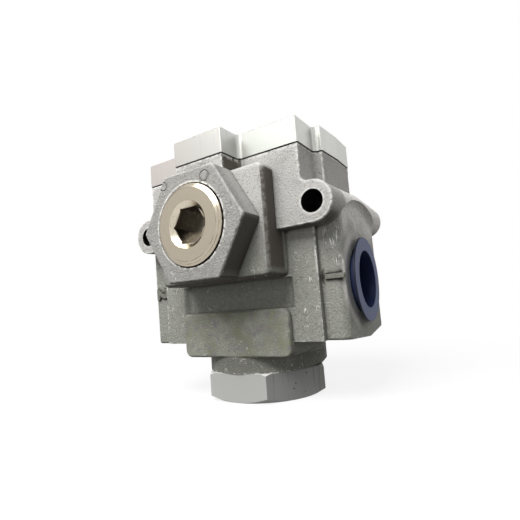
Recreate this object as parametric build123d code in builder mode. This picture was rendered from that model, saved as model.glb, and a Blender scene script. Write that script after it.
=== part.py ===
"""Pilot-operated 3/2 poppet valve, used as a blowdown valve.

Lengths are in millimetres. The origin is the centre of the bottom cap's
resting face. +Z runs up the stem, +X leaves the inlet port, and -Y is the
front, where the plugged exhaust port is. The cylinder port faces -X.

Every piece is drawn at rest: no pilot pressure, the return spring holding
the inlet poppet up under its seat, and the exhaust seat open.
"""
import os
from math import cos, radians, sin, tan

from build123d import *

os.makedirs("parts", exist_ok=True)

# Clearances and fits
PLAY = 0.3            # free gap between pieces that move apart
SEAL_PLAY = 0.1       # radial gap at a sliding seal
SCREW_FIT = 0.05      # radial gap in a threaded joint drawn plain
STEM_FIT = 0.04       # radial gap of the stem in its guide bush
SLIDE_GAP = 0.3       # radial gap of the piston in its bore

# Ports: three G1 threads drawn at their minor diameter
PORT_R = 15.15
PORT_MOUTH_CHAMFER = 1.7
PORT_DEPTH = 20.0
PORT_Z = 57.0
PORT_FACE_X = 59.7

# Casting, lower half
BLOCK_HALF_X = 48.7
BLOCK_FRONT = 27.7
BODY_REAR = 30.5
BLOCK_BOTTOM = 29.7
PORT_BLOCK_STEP = 3.4       # how far the port blocks' fronts stand back at the foot
PORT_BLOCK_LEAN = 1.4       # how far they lean out again up to the ears
PORT_BLOCK_REAR = 26.0
PORT_BLOCK_SAG = 1.3        # how far the underside dips at the parting line
PORT_BLOCK_RISE = 2.5       # how far the rear underside slopes up
PARTING_Y = 5.0
INLET_BLOCK_ROUND = 5.0     # upright front edges as cast, before the ports are faced
CYLINDER_BLOCK_ROUND = 1.6
PORT_BLOCK_FOOT_ROUND = 1.4
PORT_FACING_R = 40.2        # reach of the cutter that faces a side port
PORT_FACING_CORNER = 4.2    # its rounded corner, which leaves a hollow in the ear tube
PORT_FACING_STOCK = 0.7     # what it takes off the port block
NECK_R = 33.0
NECK_SHY = 0.4              # the neck's front stays this far behind the pad
NECK_TURNED = 1.6           # what turning takes off the neck's radius at its rim
PAD_HALF_X = 33.0
PAD_PROUD = 3.4
PAD_BOTTOM = 22.6
PAD_TOP = 45.9
PAD_CORNER = 4.0
PAD_ROUND = 1.4
POCKET_HALF_X = 33.9
POCKET_DEPTH = 3.4
POCKET_SLOPE = 2.6          # how far each side wall runs out over the depth
POCKET_ROUND = 3.0
POCKET_BROW_ROUND = 1.6

# Casting, exhaust boss
BOSS_HALF_X = 33.5
BOSS_FRONT = 45.4
BOSS_BOTTOM = 60.7
BOSS_TOP = 114.2
BOSS_CORNER = 3.5
BOSS_ROUND = 2.4
HEX_BOSS_AF = 53.0
HEX_BOSS_Z = 87.7
HEX_BOSS_PROUD = 13.3
HEX_BOSS_CORNER = 2.4
HEX_BOSS_ROUND = 1.1
SPOT_FACE_PLAY = 0.7
SPOT_FACE_DEPTH = 2.3
EXHAUST_DEPTH = 22.7

# Casting, mounting ears and the cross-shaped upper half
EAR_OUT = 4.1               # ear centre outside the flank
EAR_Z = 92.6
EAR_R = 9.9
EAR_SWELL = 0.9             # draft: the ear tube is stoutest at the parting line
EAR_REAR_SLIM = 0.9
EAR_HOLE_R = 5.25
EAR_REAR = 42.0
EAR_ROUND = 0.6
EAR_REAR_ROUND = 1.8
EAR_HEEL = 3.0
FLANK_X = 48.4
FLANK_FRONT = 36.6
FRONT_LOBE_X = 15.3
FRONT_LOBE_PROUD = 14.0
SIDE_LOBE_PROUD = 5.0
SIDE_LOBE_Y = 18.3
SIDE_LOBE_DRAFT = 0.7
INNER_CORNER = 2.6
OUTER_CORNER = 0.7
COVER_OVERHANG = 0.5

# Valve chambers and seats, stacked upwards from the cap
CAP_BORE_R = 26.05
CAP_BORE_TOP = 40.0
INLET_CHAMBER_R = 21.0
INLET_SEPTUM_Z = 52.0
INLET_SEPTUM = 8.5
MIDDLE_CHAMBER_R = 22.0
MIDDLE_CHAMBER = 13.0
EXHAUST_SEPTUM = 6.5
UPPER_CHAMBER_R = 22.0
ORIFICE_R = 13.0
SEAT_LAND = 1.6
SEAT_LIP = 1.0
WINDOW_HALF = 11.0
INLET_WINDOW = 9.5
CYLINDER_WINDOW = 10.5
EXHAUST_WINDOW = 16.5
EXHAUST_WINDOW_SILL = 1.5
WINDOW_REACH = 17.0
BREATHER_R = 1.5
BREATHER_RISE = 3.0

# Piston, stem and guide
PISTON_BORE_R = 26.0
STROKE = 7.0
PISTON_HEADROOM = 0.7       # piston at full stroke above the retaining ring
PISTON_PROUD = 1.7          # piston at rest above the casting's top
PISTON_HEIGHT = 9.0
PISTON_WEB = 5.0
PISTON_NUT_WELL_R = 9.5
PISTON_SEAL_SECTION_R = 1.7
PISTON_SEAL_RISE = 6.2
GUIDE_RING_WIDTH = 3.0
GUIDE_RING_THICK = 1.6
GUIDE_RING_RISE = 2.5
GUIDE_PLATE_HEIGHT = 4.0
GUIDE_PLATE_FIT = 0.05
RETAINING_RING_HEIGHT = 1.5
RETAINING_RING_BITE = 1.2
RETAINING_RING_WIDTH = 2.6
RETAINING_RING_GAP = 9.0
BUSH_WALL = 3.0
BUSH_COLLAR_R = 10.0
BUSH_COLLAR_HEIGHT = 0.9
STEM_SEAL_SECTION_R = 0.9
STEM_R = 6.0
STEM_GUIDE_R = 5.0
STEM_THREAD_R = 4.0
STEM_END_CHAMFER = 0.6
NUT_AF = 13.0
NUT_HEIGHT = 6.3
NUT_CHAMFER = 0.6
THIN_NUT_AF = 17.0
THIN_NUT_HEIGHT = 4.0
THIN_NUT_HEADROOM = 0.5     # thin nut at rest below the guide plate

# Poppets and their soft seals
POPPET_R = 17.0
POPPET_DISC = 5.2
POPPET_RIM = 1.1
POPPET_RIM_HEIGHT = 1.8
POPPET_SEAL_HEIGHT = 2.5
RETAINER_R = 9.0
RETAINER_HEIGHT = 1.5

# Return spring and its seat
SPRING_R = 12.0
SPRING_WIRE_R = 1.2
SPRING_PITCH = 5.6
SPRING_SEAT_R = 15.5
SPRING_SEAT_HEIGHT = 1.0
SPRING_COLLAR = 1.2

# Bottom cap
CAP_AF = 60.0
CAP_HEIGHT = 14.5
CAP_FLOOR = 6.0
CAP_POCKET_R = 17.0
CAP_SPIGOT = 13.5
CAP_CHAMFER_DEG = 30.0
CAP_TOP_BEVEL = 1.44
CAP_SEAL_SECTION_R = 1.1
CAP_SEAL_RISE = 2.7

# Pilot cover, gasket and screws
GASKET_THICK = 0.6
COVER_HEIGHT = 12.7
COVER_EDGE = 0.4
COVER_RECESS_DEPTH = 4.9
PILOT_R = 5.72
PILOT_MOUTH_CHAMFER = 0.8
SCREW_INSET = 9.2           # from the flank's three faces to the screw's axis
SCREW_R = 2.95
SCREW_HEAD_R = 5.0
SCREW_HEAD_HEIGHT = 6.0
SCREW_HEAD_SINK = 6.8
SCREW_HOLE_R = 3.3
SCREW_SOCKET_AF = 5.0
SCREW_SOCKET_DEPTH = 3.0
SCREW_BITE = 12.0
SCREW_HOLE_SPARE = 4.0

# Exhaust port plug and its washer
PLUG_COLLAR_R = 19.5
PLUG_PROUD = 2.2
PLUG_BEVEL = 1.5
PLUG_BEVEL_WIDTH = 2.2
PLUG_WASHER = 1.0
PLUG_WASHER_BORE = 17.0
PLUG_LENGTH = 14.0
PLUG_SOCKET_AF = 17.0
PLUG_SOCKET_DEPTH = 12.0
PLUG_COUNTERSINK_R = 11.4

# Thread protectors
PROTECTOR_FLANGE_R = 20.95
PROTECTOR_FLANGE = 1.0
PROTECTOR_STAND_OFF = 2.3   # gap left under the flange, as pushed in by hand
PROTECTOR_TILT_DEG = 2.3    # front of the flange standing further out than the rear
PROTECTOR_WALL = 0.9
PROTECTOR_FLOOR = 1.0
PROTECTOR_DEPTH = 14.0
PROTECTOR_DRAFT = 0.7       # how much slimmer the cup is at its floor
PROTECTOR_FIT = 0.05
PROTECTOR_ROUND = 0.3

# Places outside that follow from the sizes above
port_block_front = BLOCK_FRONT - PORT_BLOCK_STEP
pad_front = BLOCK_FRONT + PAD_PROUD
neck_bottom = CAP_HEIGHT
neck_y = NECK_R + NECK_SHY - pad_front
neck_turned_r = NECK_R - NECK_TURNED
hex_boss_front = BOSS_FRONT + HEX_BOSS_PROUD
ear_x = FLANK_X + EAR_OUT
ear_ledge_z = EAR_Z - EAR_R
side_lobe_x = FLANK_X + SIDE_LOBE_PROUD
front_lobe_y = FLANK_FRONT + FRONT_LOBE_PROUD
flank_x = FLANK_X - COVER_OVERHANG
flank_front = FLANK_FRONT - COVER_OVERHANG
body_rear = BODY_REAR - COVER_OVERHANG
spot_face_y = hex_boss_front - SPOT_FACE_DEPTH
collar_back_y = spot_face_y + PLUG_WASHER
plug_face_y = hex_boss_front + PLUG_PROUD

# Heights inside, from the inlet seat up to the cover
inlet_septum_top = INLET_SEPTUM_Z + INLET_SEPTUM
exhaust_septum_z = inlet_septum_top + MIDDLE_CHAMBER
exhaust_septum_top = exhaust_septum_z + EXHAUST_SEPTUM
inlet_lip_z = INLET_SEPTUM_Z - SEAT_LIP
exhaust_lip_z = exhaust_septum_top + SEAT_LIP
inlet_seal_top = inlet_lip_z - PLAY
inlet_disc_top = inlet_seal_top - POPPET_SEAL_HEIGHT
inlet_disc_bottom = inlet_disc_top - POPPET_DISC
stem_shoulder_low = inlet_seal_top + RETAINER_HEIGHT
stem_end_low = inlet_disc_bottom - NUT_HEIGHT - 1.5
exhaust_seal_bottom = exhaust_lip_z + STROKE + PLAY
exhaust_disc_bottom = exhaust_seal_bottom + POPPET_SEAL_HEIGHT
exhaust_disc_top = exhaust_disc_bottom + POPPET_DISC
stem_shoulder_mid = exhaust_seal_bottom - RETAINER_HEIGHT
guide_shoulder_z = exhaust_disc_top + THIN_NUT_HEIGHT + THIN_NUT_HEADROOM
guide_plate_top = guide_shoulder_z + GUIDE_PLATE_HEIGHT
ring_top = guide_plate_top + RETAINING_RING_HEIGHT
piston_bottom = ring_top + STROKE + PISTON_HEADROOM
piston_top = piston_bottom + PISTON_HEIGHT
web_top = piston_bottom + PISTON_WEB
piston_seal_z = piston_bottom + PISTON_SEAL_RISE
guide_ring_z = piston_bottom + GUIDE_RING_RISE
stem_end_top = web_top + NUT_HEIGHT + 0.3
body_top = piston_top - PISTON_PROUD
cover_bottom = body_top + GASKET_THICK
cover_top = cover_bottom + COVER_HEIGHT
screw_seat_z = cover_top - SCREW_HEAD_SINK
cap_spigot_top = CAP_HEIGHT + CAP_SPIGOT
cap_seal_z = CAP_HEIGHT + CAP_SEAL_RISE
spring_bottom = CAP_FLOOR + SPRING_SEAT_HEIGHT
spring_length = inlet_disc_bottom - spring_bottom
bush_r = STEM_GUIDE_R + BUSH_WALL
lip_r = ORIFICE_R + SEAT_LAND

inner_corners = [
    (FRONT_LOBE_X, -FLANK_FRONT),
    (FLANK_X, -SIDE_LOBE_Y),
    (FLANK_X, SIDE_LOBE_Y),
]
outer_corners = [
    (FRONT_LOBE_X, -front_lobe_y),
    (FLANK_X, -FLANK_FRONT),
    (side_lobe_x - SIDE_LOBE_DRAFT, -SIDE_LOBE_Y),
    (side_lobe_x - SIDE_LOBE_DRAFT, SIDE_LOBE_Y),
    (FLANK_X, BODY_REAR),
]
right_side = [
    outer_corners[0],
    inner_corners[0],
    outer_corners[1],
    inner_corners[1],
    outer_corners[2],
    (side_lobe_x, 0),
    outer_corners[3],
    inner_corners[2],
    outer_corners[4],
]
left_side = [(-x, y) for x, y in reversed(right_side)]
screw_x = FLANK_X - SCREW_INSET
screw_front = SCREW_INSET - FLANK_FRONT
screw_rear = BODY_REAR - SCREW_INSET
screw_spots = [
    (screw_x, screw_front),
    (-screw_x, screw_front),
    (screw_x, screw_rear),
    (-screw_x, screw_rear),
]


def near(vertex, spots):
    """True when a sketch corner lies on one of the spots or its mirror image."""
    return any(
        abs(abs(vertex.X) - x) < 0.01 and abs(vertex.Y - y) < 0.01 for x, y in spots
    )


def cross_outline():
    """The cross-shaped plan that the cover, the gasket and the casting share."""
    with BuildSketch() as plan:
        with BuildLine():
            Polyline(*right_side, *left_side, close=True)
        make_face()
        fillet([v for v in plan.vertices() if near(v, inner_corners)], INNER_CORNER)
        fillet([v for v in plan.vertices() if near(v, outer_corners)], OUTER_CORNER)
    return plan.sketch


outline = cross_outline()


# Body casting: outside first, each front step rounded before the next one grows
with BuildPart() as body:
    # Port blocks: one bar along X whose underside slopes up towards the rear
    with BuildSketch(Plane.YZ) as bar:
        with BuildLine():
            Polyline(
                (-port_block_front, BLOCK_BOTTOM),
                (PARTING_Y, BLOCK_BOTTOM - PORT_BLOCK_SAG),
                (PORT_BLOCK_REAR, BLOCK_BOTTOM + PORT_BLOCK_RISE),
                (PORT_BLOCK_REAR, EAR_Z),
                (-port_block_front - PORT_BLOCK_LEAN, EAR_Z),
                close=True,
            )
        make_face()
    extrude(amount=PORT_FACE_X + PORT_FACING_STOCK, both=True)
    inlet_edge = body.faces().sort_by(Axis.X)[-1].edges().sort_by(Axis.Y)[0]
    fillet(inlet_edge, INLET_BLOCK_ROUND)
    cylinder_edge = body.faces().sort_by(Axis.X)[0].edges().sort_by(Axis.Y)[0]
    fillet(cylinder_edge, CYLINDER_BLOCK_ROUND)
    foot_edge = body.faces().sort_by(Axis.Y)[0].edges().sort_by(Axis.Z)[0]
    fillet(foot_edge, PORT_BLOCK_FOOT_ROUND)
    # Neck below the blocks, its rim turned to a cone
    with BuildSketch(Plane.XY.offset(neck_bottom)):
        with Locations((0, neck_y)):
            Circle(NECK_R)
    extrude(amount=(PAD_BOTTOM + PAD_TOP) / 2 - neck_bottom)
    cutter_r = NECK_R + neck_y + NECK_TURNED
    with BuildSketch(Plane.XZ):
        with BuildLine():
            Polyline(
                (neck_turned_r, neck_bottom),
                (cutter_r, neck_bottom),
                (cutter_r, neck_bottom + cutter_r - neck_turned_r),
                close=True,
            )
        make_face()
    revolve(axis=Axis.Z, mode=Mode.SUBTRACT)
    # Centre block
    with BuildSketch(Plane.XZ.offset(BLOCK_FRONT)):
        with Locations((0, (BLOCK_BOTTOM + EAR_Z) / 2)):
            Rectangle(2 * BLOCK_HALF_X, EAR_Z - BLOCK_BOTTOM)
    extrude(amount=-(BLOCK_FRONT + body_rear))
    fillet(body.faces().sort_by(Axis.Y)[0].outer_wire().edges(), PAD_ROUND)
    # Shallow pocket between the exhaust boss and the pad, its side walls sloping
    brow_x = POCKET_HALF_X + POCKET_SLOPE / 2
    floor_x = POCKET_HALF_X - POCKET_SLOPE / 2
    clear_x = brow_x + POCKET_BROW_ROUND
    with BuildSketch(Plane.XY.offset(PAD_TOP)) as pocket:
        with BuildLine():
            Polyline(
                (-clear_x, -BLOCK_FRONT - POCKET_DEPTH),
                (-clear_x, -BLOCK_FRONT),
                (-brow_x, -BLOCK_FRONT),
                (-floor_x, -BLOCK_FRONT + POCKET_DEPTH),
                (floor_x, -BLOCK_FRONT + POCKET_DEPTH),
                (brow_x, -BLOCK_FRONT),
                (clear_x, -BLOCK_FRONT),
                (clear_x, -BLOCK_FRONT - POCKET_DEPTH),
                close=True,
            )
        make_face()
        brows = pocket.vertices().filter_by(lambda v: abs(abs(v.X) - brow_x) < 0.01)
        fillet(brows, POCKET_BROW_ROUND)
        fillet(pocket.vertices().group_by(Axis.Y)[-1], POCKET_ROUND)
    extrude(amount=BOSS_BOTTOM - PAD_TOP, mode=Mode.SUBTRACT)
    # Flat pad, straight sides running back into the neck
    with BuildSketch(Plane.XZ.offset(pad_front)) as pad:
        with Locations((0, (PAD_BOTTOM + PAD_TOP) / 2)):
            Rectangle(2 * PAD_HALF_X, PAD_TOP - PAD_BOTTOM)
        fillet(pad.vertices(), PAD_CORNER)
    extrude(amount=-pad_front)
    fillet(body.faces().sort_by(Axis.Y)[0].outer_wire().edges(), PAD_ROUND)
    # Ear plate across the front, with a concave heel where each ear meets the flank
    heel_z = EAR_Z + EAR_R
    with BuildSketch(Plane.XZ.offset(flank_front)) as ears:
        with Locations((0, (ear_ledge_z + heel_z) / 2)):
            Rectangle(2 * ear_x, heel_z - ear_ledge_z)
        with Locations((ear_x, EAR_Z), (-ear_x, EAR_Z)):
            Circle(EAR_R)
        with Locations((0, heel_z)):
            Rectangle(2 * flank_x, 4 * EAR_HEEL)
        heels = ears.vertices().filter_by(
            lambda v: abs(abs(v.X) - flank_x) < 0.01 and abs(v.Y - heel_z) < 0.01
        )
        fillet(heels, EAR_HEEL)
    extrude(amount=-(flank_front + PORT_BLOCK_REAR))
    fillet(body.faces().sort_by(Axis.Y)[0].outer_wire().edges(), EAR_ROUND)
    # Ear tubes, drafted both ways from the parting line, clear of the body at the rear
    for tube_x in (ear_x, -ear_x):
        with BuildSketch(Plane.XY.offset(EAR_Z)) as tube:
            with BuildLine():
                Polyline(
                    (tube_x, -port_block_front),
                    (tube_x + EAR_R, -port_block_front),
                    (tube_x + EAR_R + EAR_SWELL, PARTING_Y),
                    (tube_x + EAR_R - EAR_REAR_SLIM, EAR_REAR),
                    (tube_x, EAR_REAR),
                    close=True,
                )
            make_face()
            rim = tube.vertices().group_by(Axis.Y)[-1].sort_by(Axis.X)[-1]
            fillet(rim, EAR_REAR_ROUND)
        revolve(axis=Axis((tube_x, 0, EAR_Z), (0, 1, 0)))
    # Exhaust boss: a rounded block, then the hexagon on its front
    with BuildSketch(Plane.XZ.offset(BOSS_FRONT)) as boss:
        with Locations((0, (BOSS_BOTTOM + BOSS_TOP) / 2)):
            Rectangle(2 * BOSS_HALF_X, BOSS_TOP - BOSS_BOTTOM)
        fillet(boss.vertices(), BOSS_CORNER)
    extrude(amount=-BOSS_FRONT)
    fillet(body.faces().sort_by(Axis.Y)[0].outer_wire().edges(), BOSS_ROUND)
    # Upper half under the cover
    with BuildSketch(Plane.XY.offset(EAR_Z)):
        add(outline)
        offset(amount=-COVER_OVERHANG)
    extrude(amount=body_top - EAR_Z)
    with BuildSketch(Plane.XZ.offset(hex_boss_front)) as hexagon:
        with Locations((0, HEX_BOSS_Z)):
            RegularPolygon(HEX_BOSS_AF / 2, 6, major_radius=False)
        fillet(hexagon.vertices(), HEX_BOSS_CORNER)
    extrude(amount=-(hex_boss_front - flank_front))
    fillet(body.faces().sort_by(Axis.Y)[0].outer_wire().edges(), HEX_BOSS_ROUND)

    # Inside: bores, chambers and the two seats, all on the stem axis
    with BuildSketch(Plane.XZ) as chambers:
        with BuildLine():
            Polyline(
                (0, neck_bottom),
                (CAP_BORE_R, neck_bottom),
                (CAP_BORE_R, CAP_BORE_TOP),
                (INLET_CHAMBER_R, CAP_BORE_TOP + CAP_BORE_R - INLET_CHAMBER_R),
                (INLET_CHAMBER_R, INLET_SEPTUM_Z),
                (lip_r, INLET_SEPTUM_Z),
                (lip_r, inlet_lip_z),
                (ORIFICE_R, inlet_lip_z),
                (ORIFICE_R, inlet_septum_top),
                (MIDDLE_CHAMBER_R, inlet_septum_top),
                (MIDDLE_CHAMBER_R, exhaust_septum_z),
                (ORIFICE_R, exhaust_septum_z),
                (ORIFICE_R, exhaust_lip_z),
                (lip_r, exhaust_lip_z),
                (lip_r, exhaust_septum_top),
                (UPPER_CHAMBER_R, exhaust_septum_top),
                (UPPER_CHAMBER_R, guide_shoulder_z),
                (PISTON_BORE_R, guide_shoulder_z),
                (PISTON_BORE_R, guide_plate_top),
                (PISTON_BORE_R + RETAINING_RING_BITE, guide_plate_top),
                (PISTON_BORE_R + RETAINING_RING_BITE, ring_top),
                (PISTON_BORE_R, ring_top),
                (PISTON_BORE_R, body_top),
                (0, body_top),
                close=True,
            )
        make_face()
    revolve(axis=Axis.Z, mode=Mode.SUBTRACT)
    # Faces of the side ports, cut flat across the block and the ear above it
    facing_out = PORT_FACE_X + EAR_OUT + EAR_R
    for side in (1, -1):
        with BuildSketch(Plane.XY.offset(PORT_Z)) as facing:
            with BuildLine():
                Polyline(
                    (side * PORT_FACE_X, 0),
                    (side * PORT_FACE_X, PORT_FACING_R),
                    (side * facing_out, PORT_FACING_R),
                    (side * facing_out, 0),
                    close=True,
                )
            make_face()
            corner = [v for v in facing.vertices() if v.Y > 1 and abs(v.X) < facing_out - 1]
            fillet(corner, PORT_FACING_CORNER)
        revolve(axis=Axis((0, 0, PORT_Z), (1, 0, 0)), mode=Mode.SUBTRACT)
    # Inlet port and its window, low into the inlet chamber
    with Locations(Plane.YZ.offset(PORT_FACE_X) * Location((0, PORT_Z, 0))):
        CounterSinkHole(PORT_R, PORT_R + PORT_MOUTH_CHAMFER, PORT_DEPTH, 90)
    with BuildSketch(Plane.YZ.offset(WINDOW_REACH)):
        with Locations((0, INLET_SEPTUM_Z - INLET_WINDOW / 2)):
            Rectangle(2 * WINDOW_HALF, INLET_WINDOW)
    extrude(amount=PORT_FACE_X - PORT_DEPTH - WINDOW_REACH + 1, mode=Mode.SUBTRACT)
    # Cylinder port and its window, high into the middle chamber
    with Locations(Plane.YZ.offset(-PORT_FACE_X) * Location((0, PORT_Z, 0), (0, 180, 0))):
        CounterSinkHole(PORT_R, PORT_R + PORT_MOUTH_CHAMFER, PORT_DEPTH, 90)
    with BuildSketch(Plane.YZ.offset(-WINDOW_REACH)):
        with Locations((0, inlet_septum_top + CYLINDER_WINDOW / 2)):
            Rectangle(2 * WINDOW_HALF, CYLINDER_WINDOW)
    extrude(amount=WINDOW_REACH + PORT_DEPTH - PORT_FACE_X - 1, mode=Mode.SUBTRACT)
    # Exhaust port, its spot face and its window into the upper chamber
    with BuildSketch(Plane.XZ.offset(hex_boss_front)):
        with Locations((0, HEX_BOSS_Z)):
            Circle(PLUG_COLLAR_R + SPOT_FACE_PLAY)
    extrude(amount=-SPOT_FACE_DEPTH, mode=Mode.SUBTRACT)
    with BuildSketch(Plane.XZ.offset(spot_face_y)):
        with Locations((0, HEX_BOSS_Z)):
            Circle(PORT_R)
    extrude(amount=SPOT_FACE_DEPTH - EXHAUST_DEPTH, mode=Mode.SUBTRACT)
    with BuildSketch(Plane.XZ.offset(WINDOW_REACH)):
        with Locations((0, exhaust_septum_top + EXHAUST_WINDOW_SILL + EXHAUST_WINDOW / 2)):
            Rectangle(2 * WINDOW_HALF, EXHAUST_WINDOW)
    extrude(amount=hex_boss_front - EXHAUST_DEPTH - WINDOW_REACH + 1, mode=Mode.SUBTRACT)
    # Mounting holes through both ears
    with BuildSketch(Plane.XZ.offset(flank_front)):
        with Locations((ear_x, EAR_Z), (-ear_x, EAR_Z)):
            Circle(EAR_HOLE_R)
    extrude(amount=-(flank_front + EAR_REAR), mode=Mode.SUBTRACT)
    # Threaded holes for the cover screws
    with BuildSketch(Plane.XY.offset(body_top)):
        with Locations(*screw_spots):
            Circle(SCREW_R + SCREW_FIT)
    extrude(amount=-(SCREW_BITE + SCREW_HOLE_SPARE), mode=Mode.SUBTRACT)
    # Breather from under the piston out through the rear wall
    with BuildSketch(Plane.XZ.offset(-body_rear)):
        with Locations((0, ring_top + BREATHER_RISE)):
            Circle(BREATHER_R)
    extrude(amount=body_rear - PISTON_BORE_R + 3, mode=Mode.SUBTRACT)

# Pilot cover
with BuildPart() as pilot_cover:
    with BuildSketch(Plane.XY.offset(cover_bottom)):
        add(outline)
    extrude(amount=COVER_HEIGHT)
    chamfer(pilot_cover.faces().sort_by(Axis.Z)[-1].outer_wire().edges(), COVER_EDGE)
    with BuildSketch(Plane.XY.offset(cover_bottom)):
        Circle(PISTON_BORE_R + PLAY)
    extrude(amount=COVER_RECESS_DEPTH, mode=Mode.SUBTRACT)
    with BuildSketch(Plane.XY.offset(cover_bottom)):
        Circle(PILOT_R)
        with Locations(*screw_spots):
            Circle(SCREW_HOLE_R)
    extrude(amount=COVER_HEIGHT, mode=Mode.SUBTRACT)
    with BuildSketch(Plane.XY.offset(screw_seat_z)):
        with Locations(*screw_spots):
            Circle(SCREW_HEAD_R + 0.5)
    extrude(amount=SCREW_HEAD_SINK, mode=Mode.SUBTRACT)
    pilot_mouth = pilot_cover.edges().filter_by(GeomType.CIRCLE).filter_by(
        lambda e: abs(e.radius - PILOT_R) < 0.01 and e.center().Z > cover_top - 0.1
    )
    chamfer(pilot_mouth, PILOT_MOUTH_CHAMFER)

# Gasket between the casting and the cover
with BuildPart() as cover_gasket:
    with BuildSketch(Plane.XY.offset(body_top)):
        add(outline)
        offset(amount=-COVER_OVERHANG)
        Circle(PISTON_BORE_R + PLAY, mode=Mode.SUBTRACT)
        with Locations(*screw_spots):
            Circle(SCREW_HOLE_R, mode=Mode.SUBTRACT)
    extrude(amount=GASKET_THICK)

# Four socket-head screws
with BuildPart() as cover_screws:
    with BuildSketch(Plane.XY.offset(body_top - SCREW_BITE)):
        with Locations(*screw_spots):
            Circle(SCREW_R)
    extrude(amount=screw_seat_z - body_top + SCREW_BITE)
    with BuildSketch(Plane.XY.offset(screw_seat_z)):
        with Locations(*screw_spots):
            Circle(SCREW_HEAD_R)
    extrude(amount=SCREW_HEAD_HEIGHT)
    chamfer(cover_screws.edges().filter_by(GeomType.CIRCLE).group_by(Axis.Z)[-1], 0.5)
    with BuildSketch(Plane.XY.offset(screw_seat_z + SCREW_HEAD_HEIGHT)):
        with Locations(*screw_spots):
            RegularPolygon(SCREW_SOCKET_AF / 2, 6, major_radius=False)
    extrude(amount=-SCREW_SOCKET_DEPTH, mode=Mode.SUBTRACT)

# Piston, turned in one profile with both ring grooves and the nut well
piston_r = PISTON_BORE_R - SLIDE_GAP
seal_outer = PISTON_BORE_R - SEAL_PLAY
seal_floor = seal_outer - 2 * PISTON_SEAL_SECTION_R - 0.1
ring_floor = seal_outer - GUIDE_RING_THICK - 0.05
half_groove = PISTON_SEAL_SECTION_R + 0.2
half_ring = GUIDE_RING_WIDTH / 2 + 0.1
with BuildPart() as piston:
    with BuildSketch(Plane.XZ):
        with BuildLine():
            Polyline(
                (STEM_THREAD_R + SCREW_FIT, piston_bottom),
                (piston_r - 1, piston_bottom),
                (piston_r, piston_bottom + 1),
                (piston_r, guide_ring_z - half_ring),
                (ring_floor, guide_ring_z - half_ring),
                (ring_floor, guide_ring_z + half_ring),
                (piston_r, guide_ring_z + half_ring),
                (piston_r, piston_seal_z - half_groove),
                (seal_floor, piston_seal_z - half_groove),
                (seal_floor, piston_seal_z + half_groove),
                (piston_r, piston_seal_z + half_groove),
                (piston_r, piston_top - 0.4),
                (piston_r - 0.4, piston_top),
                (PISTON_NUT_WELL_R, piston_top),
                (PISTON_NUT_WELL_R, web_top),
                (STEM_THREAD_R + SCREW_FIT, web_top),
                close=True,
            )
        make_face()
    revolve(axis=Axis.Z)

# Piston seal, an O-ring
with BuildPart() as piston_seal:
    with BuildSketch(Plane.XZ):
        with Locations((seal_outer - PISTON_SEAL_SECTION_R, piston_seal_z)):
            Circle(PISTON_SEAL_SECTION_R)
    revolve(axis=Axis.Z)

# Piston guide ring
with BuildPart() as piston_guide_ring:
    with BuildSketch(Plane.XY.offset(guide_ring_z - GUIDE_RING_WIDTH / 2)):
        Circle(seal_outer)
        Circle(seal_outer - GUIDE_RING_THICK, mode=Mode.SUBTRACT)
    extrude(amount=GUIDE_RING_WIDTH)

# Stem, one turned bar from the lower nut to the piston nut
with BuildPart() as stem:
    with BuildSketch(Plane.XZ):
        with BuildLine():
            Polyline(
                (0, stem_end_low),
                (STEM_THREAD_R - STEM_END_CHAMFER, stem_end_low),
                (STEM_THREAD_R, stem_end_low + STEM_END_CHAMFER),
                (STEM_THREAD_R, stem_shoulder_low),
                (STEM_R, stem_shoulder_low),
                (STEM_R, stem_shoulder_mid),
                (STEM_GUIDE_R, stem_shoulder_mid),
                (STEM_GUIDE_R, piston_bottom),
                (STEM_THREAD_R, piston_bottom),
                (STEM_THREAD_R, stem_end_top - STEM_END_CHAMFER),
                (STEM_THREAD_R - STEM_END_CHAMFER, stem_end_top),
                (0, stem_end_top),
                close=True,
            )
        make_face()
    revolve(axis=Axis.Z)

# Two equal nuts: one under the inlet poppet, one on the piston
with BuildPart() as stem_nuts:
    for nut_z in (inlet_disc_bottom - NUT_HEIGHT, web_top):
        with BuildSketch(Plane.XY.offset(nut_z)):
            RegularPolygon(NUT_AF / 2, 6, major_radius=False)
            Circle(STEM_THREAD_R + SCREW_FIT, mode=Mode.SUBTRACT)
        extrude(amount=NUT_HEIGHT)
    nut_rims = [w for f in stem_nuts.faces().filter_by(Axis.Z) for w in [f.outer_wire()]]
    chamfer([e for w in nut_rims for e in w.edges()], NUT_CHAMFER)

# Thin nut that holds the exhaust poppet
with BuildPart() as exhaust_poppet_nut:
    with BuildSketch(Plane.XY.offset(exhaust_disc_top)):
        RegularPolygon(THIN_NUT_AF / 2, 6, major_radius=False)
        Circle(STEM_GUIDE_R + SCREW_FIT, mode=Mode.SUBTRACT)
    extrude(amount=THIN_NUT_HEIGHT)
    thin_rims = [f.outer_wire() for f in exhaust_poppet_nut.faces().filter_by(Axis.Z)]
    chamfer([e for w in thin_rims for e in w.edges()], NUT_CHAMFER)

# Retainer washers that clamp the two soft seals
with BuildPart() as seal_retainers:
    with BuildSketch(Plane.XY.offset(inlet_seal_top)):
        Circle(RETAINER_R)
        Circle(STEM_THREAD_R + SCREW_FIT, mode=Mode.SUBTRACT)
    extrude(amount=RETAINER_HEIGHT)
    with BuildSketch(Plane.XY.offset(exhaust_seal_bottom)):
        Circle(RETAINER_R)
        Circle(STEM_GUIDE_R + SCREW_FIT, mode=Mode.SUBTRACT)
    extrude(amount=-RETAINER_HEIGHT)

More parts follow.
